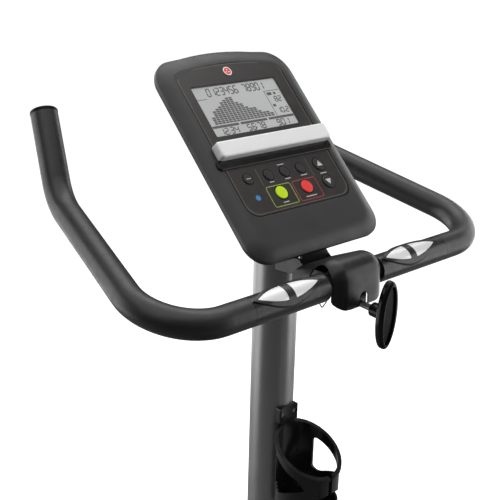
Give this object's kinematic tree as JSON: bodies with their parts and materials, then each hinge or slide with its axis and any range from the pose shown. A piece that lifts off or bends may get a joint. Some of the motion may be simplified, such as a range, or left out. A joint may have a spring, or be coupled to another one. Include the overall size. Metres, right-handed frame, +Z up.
{
  "type": "exercise bike",
  "caption": "Upright exercise bike with a tilting console, sweeping foam handlebar with pulse sensors, bottle cage, shrouded flywheel drive, pedals and adjustable saddle.",
  "frame": {"origin": "on the floor under the middle of the bike", "axes": "+X to the rider's right, +Y ahead of the rider, +Z up"},
  "size_m": [0.561, 1.0373, 1.3769],
  "materials": {
    "main_frame": "satin",
    "front_stabilizer": "satin",
    "rear_stabilizer": "satin",
    "front_end_caps": "matte",
    "rear_end_caps": "matte",
    "frame_bolts": "satin",
    "left_shroud": "satin",
    "right_shroud": "satin",
    "mast_boot": "satin",
    "mast": "satin",
    "bottle_cage": "gloss",
    "small_screws": "satin",
    "bar_clamp": "satin",
    "bar_cover": "satin",
    "console_front": "satin",
    "console_back": "satin",
    "panel_overlay": "satin",
    "display_panel": "gloss",
    "display_lens": "clear",
    "reading_rack": "satin silver",
    "console_board": "satin",
    "bearings": "polished",
    "power_inlet": "gloss",
    "brake_motor": "matte",
    "seat_sleeve": "satin",
    "drive_belt": "matte",
    "axle_pins": "satin",
    "handlebar_tube": "satin",
    "foam_grips": "satin",
    "grip_end_caps": "satin",
    "sensor_bases": "satin",
    "sensor_plates": "polished",
    "clamp_knob": "gloss",
    "clamp_bolt": "satin",
    "seat_post": "satin",
    "saddle_base": "satin",
    "saddle_pad": "satin",
    "seat_pin": "satin",
    "crank_spindle": "satin",
    "left_crank": "satin",
    "right_crank": "satin",
    "drive_pulley": "satin",
    "left_pedal": "matte",
    "right_pedal": "matte",
    "flywheel": "satin",
    "tensioner_arm": "satin",
    "idler_wheel": "satin",
    "brake_arm": "satin",
    "left_roller": "matte",
    "right_roller": "matte",
    "left_leveler": "matte",
    "right_leveler": "matte",
    "button_enter": "satin",
    "button_program_a": "satin",
    "button_program_b": "satin",
    "button_program_c": "satin",
    "button_level_up": "satin",
    "button_level_down": "satin",
    "button_start": "satin",
    "button_stop": "satin"
  },
  "bodies": {
    "frame": {"main_frame": "main_frame", "front_stabilizer": "front_stabilizer", "rear_stabilizer": "rear_stabilizer", "front_end_caps": "front_end_caps", "rear_end_caps": "rear_end_caps", "frame_bolts": "frame_bolts", "left_shroud": "left_shroud", "right_shroud": "right_shroud", "mast_boot": "mast_boot", "mast": "mast", "bottle_cage": "bottle_cage", "small_screws": "small_screws", "bar_clamp": "bar_clamp", "bar_cover": "bar_cover", "console_front": "console_front", "console_back": "console_back", "panel_overlay": "panel_overlay", "display_panel": "display_panel", "display_lens": "display_lens", "reading_rack": "reading_rack", "console_board": "console_board", "bearings": "bearings", "power_inlet": "power_inlet", "brake_motor": "brake_motor", "seat_sleeve": "seat_sleeve", "drive_belt": "drive_belt", "axle_pins": "axle_pins"},
    "handlebar": {"handlebar_tube": "handlebar_tube", "foam_grips": "foam_grips", "grip_end_caps": "grip_end_caps", "sensor_bases": "sensor_bases", "sensor_plates": "sensor_plates"},
    "knob": {"clamp_knob": "clamp_knob", "clamp_bolt": "clamp_bolt"},
    "seat": {"seat_post": "seat_post", "saddle_base": "saddle_base", "saddle_pad": "saddle_pad"},
    "pull_pin": {"seat_pin": "seat_pin"},
    "crank": {"crank_spindle": "crank_spindle", "left_crank": "left_crank", "right_crank": "right_crank", "drive_pulley": "drive_pulley"},
    "left_pedal_body": {"left_pedal": "left_pedal"},
    "right_pedal_body": {"right_pedal": "right_pedal"},
    "flywheel_body": {"flywheel": "flywheel"},
    "tensioner": {"tensioner_arm": "tensioner_arm"},
    "idler": {"idler_wheel": "idler_wheel"},
    "brake": {"brake_arm": "brake_arm"},
    "left_roller_body": {"left_roller": "left_roller"},
    "right_roller_body": {"right_roller": "right_roller"},
    "left_leveler_body": {"left_leveler": "left_leveler"},
    "right_leveler_body": {"right_leveler": "right_leveler"},
    "button_enter_body": {"button_enter": "button_enter"},
    "button_program_a_body": {"button_program_a": "button_program_a"},
    "button_program_b_body": {"button_program_b": "button_program_b"},
    "button_program_c_body": {"button_program_c": "button_program_c"},
    "button_level_up_body": {"button_level_up": "button_level_up"},
    "button_level_down_body": {"button_level_down": "button_level_down"},
    "button_start_body": {"button_start": "button_start"},
    "button_stop_body": {"button_stop": "button_stop"}
  },
  "joints": [
    {"name": "handlebar_tilt", "type": "hinge", "parent": "frame", "child": "handlebar", "pos_m": [0, 0.181, 1.14], "axis": [1, 0, 0], "range_deg": [-20, 25]},
    {"name": "knob_turn", "type": "hinge", "parent": "frame", "child": "knob", "pos_m": [0, 0.181, 1.1145], "axis": [0, 0.9962, 0.0872], "range_deg": [-360, 0]},
    {"name": "seat_height", "type": "slide", "parent": "frame", "child": "seat", "axis": [0, -0.2588, 0.9659], "range_m": [-0.075, 0.075]},
    {"name": "seat_pin_pull", "type": "slide", "parent": "frame", "child": "pull_pin", "axis": [0, 0.9659, 0.2588], "range_m": [0, 0.01], "stiffness_N_per_m": 1500, "springref_m": -0.005},
    {"name": "crank_spin", "type": "hinge", "parent": "frame", "child": "crank", "pos_m": [0, -0.02, 0.3], "axis": [1, 0, 0], "continuous": true},
    {"name": "flywheel_spin", "type": "hinge", "parent": "frame", "child": "flywheel_body", "pos_m": [0, 0.15, 0.3], "axis": [1, 0, 0], "continuous": true},
    {"name": "left_pedal_spin", "type": "hinge", "parent": "crank", "child": "left_pedal_body", "pos_m": [-0.14, -0.02, 0.465], "axis": [1, 0, 0], "continuous": true},
    {"name": "right_pedal_spin", "type": "hinge", "parent": "crank", "child": "right_pedal_body", "pos_m": [0.14, -0.02, 0.135], "axis": [1, 0, 0], "continuous": true},
    {"name": "tensioner_swing", "type": "hinge", "parent": "frame", "child": "tensioner", "pos_m": [0.042, 0.15, 0.2], "axis": [1, 0, 0], "range_deg": [0, 8], "stiffness_Nm_per_rad": 8, "springref_deg": -5.73},
    {"name": "idler_spin", "type": "hinge", "parent": "tensioner", "child": "idler", "pos_m": [0.035, 0.1109, 0.22645], "axis": [1, 0, 0], "continuous": true},
    {"name": "brake_swing", "type": "hinge", "parent": "frame", "child": "brake", "pos_m": [-0.019, 0.078, 0.441], "axis": [1, 0, 0], "range_deg": [-2.2, 0]},
    {"name": "button_enter_press", "type": "slide", "parent": "frame", "child": "button_enter_body", "axis": [0, 0.7322, -0.6811], "range_m": [0, 0.001], "stiffness_N_per_m": 400, "springref_m": -0.0005},
    {"name": "button_program_a_press", "type": "slide", "parent": "frame", "child": "button_program_a_body", "axis": [0, 0.7322, -0.6811], "range_m": [0, 0.001], "stiffness_N_per_m": 400, "springref_m": -0.0005},
    {"name": "button_program_b_press", "type": "slide", "parent": "frame", "child": "button_program_b_body", "axis": [0, 0.7322, -0.6811], "range_m": [0, 0.001], "stiffness_N_per_m": 400, "springref_m": -0.0005},
    {"name": "button_program_c_press", "type": "slide", "parent": "frame", "child": "button_program_c_body", "axis": [0, 0.7322, -0.6811], "range_m": [0, 0.001], "stiffness_N_per_m": 400, "springref_m": -0.0005},
    {"name": "button_level_up_press", "type": "slide", "parent": "frame", "child": "button_level_up_body", "axis": [0, 0.7322, -0.6811], "range_m": [0, 0.001], "stiffness_N_per_m": 400, "springref_m": -0.0005},
    {"name": "button_level_down_press", "type": "slide", "parent": "frame", "child": "button_level_down_body", "axis": [0, 0.7322, -0.6811], "range_m": [0, 0.001], "stiffness_N_per_m": 400, "springref_m": -0.0005},
    {"name": "button_start_press", "type": "slide", "parent": "frame", "child": "button_start_body", "axis": [0, 0.7322, -0.6811], "range_m": [0, 0.001], "stiffness_N_per_m": 400, "springref_m": -0.0005},
    {"name": "button_stop_press", "type": "slide", "parent": "frame", "child": "button_stop_body", "axis": [0, 0.7322, -0.6811], "range_m": [0, 0.001], "stiffness_N_per_m": 400, "springref_m": -0.0005},
    {"name": "left_roller_spin", "type": "hinge", "parent": "frame", "child": "left_roller_body", "pos_m": [-0.242, 0.495, 0.024], "axis": [1, 0, 0], "continuous": true},
    {"name": "right_roller_spin", "type": "hinge", "parent": "frame", "child": "right_roller_body", "pos_m": [0.242, 0.495, 0.024], "axis": [1, 0, 0], "continuous": true},
    {"name": "left_leveler_travel", "type": "slide", "parent": "frame", "child": "left_leveler_body", "axis": [0, 0, -1], "range_m": [0, 0.012]},
    {"name": "right_leveler_travel", "type": "slide", "parent": "frame", "child": "right_leveler_body", "axis": [0, 0, -1], "range_m": [0, 0.012]}
  ],
  "couplings": [
    {"joint": "flywheel_spin", "follows": "crank_spin", "ratio": 5.5},
    {"joint": "idler_spin", "follows": "crank_spin", "ratio": -6.1111}
  ]
}
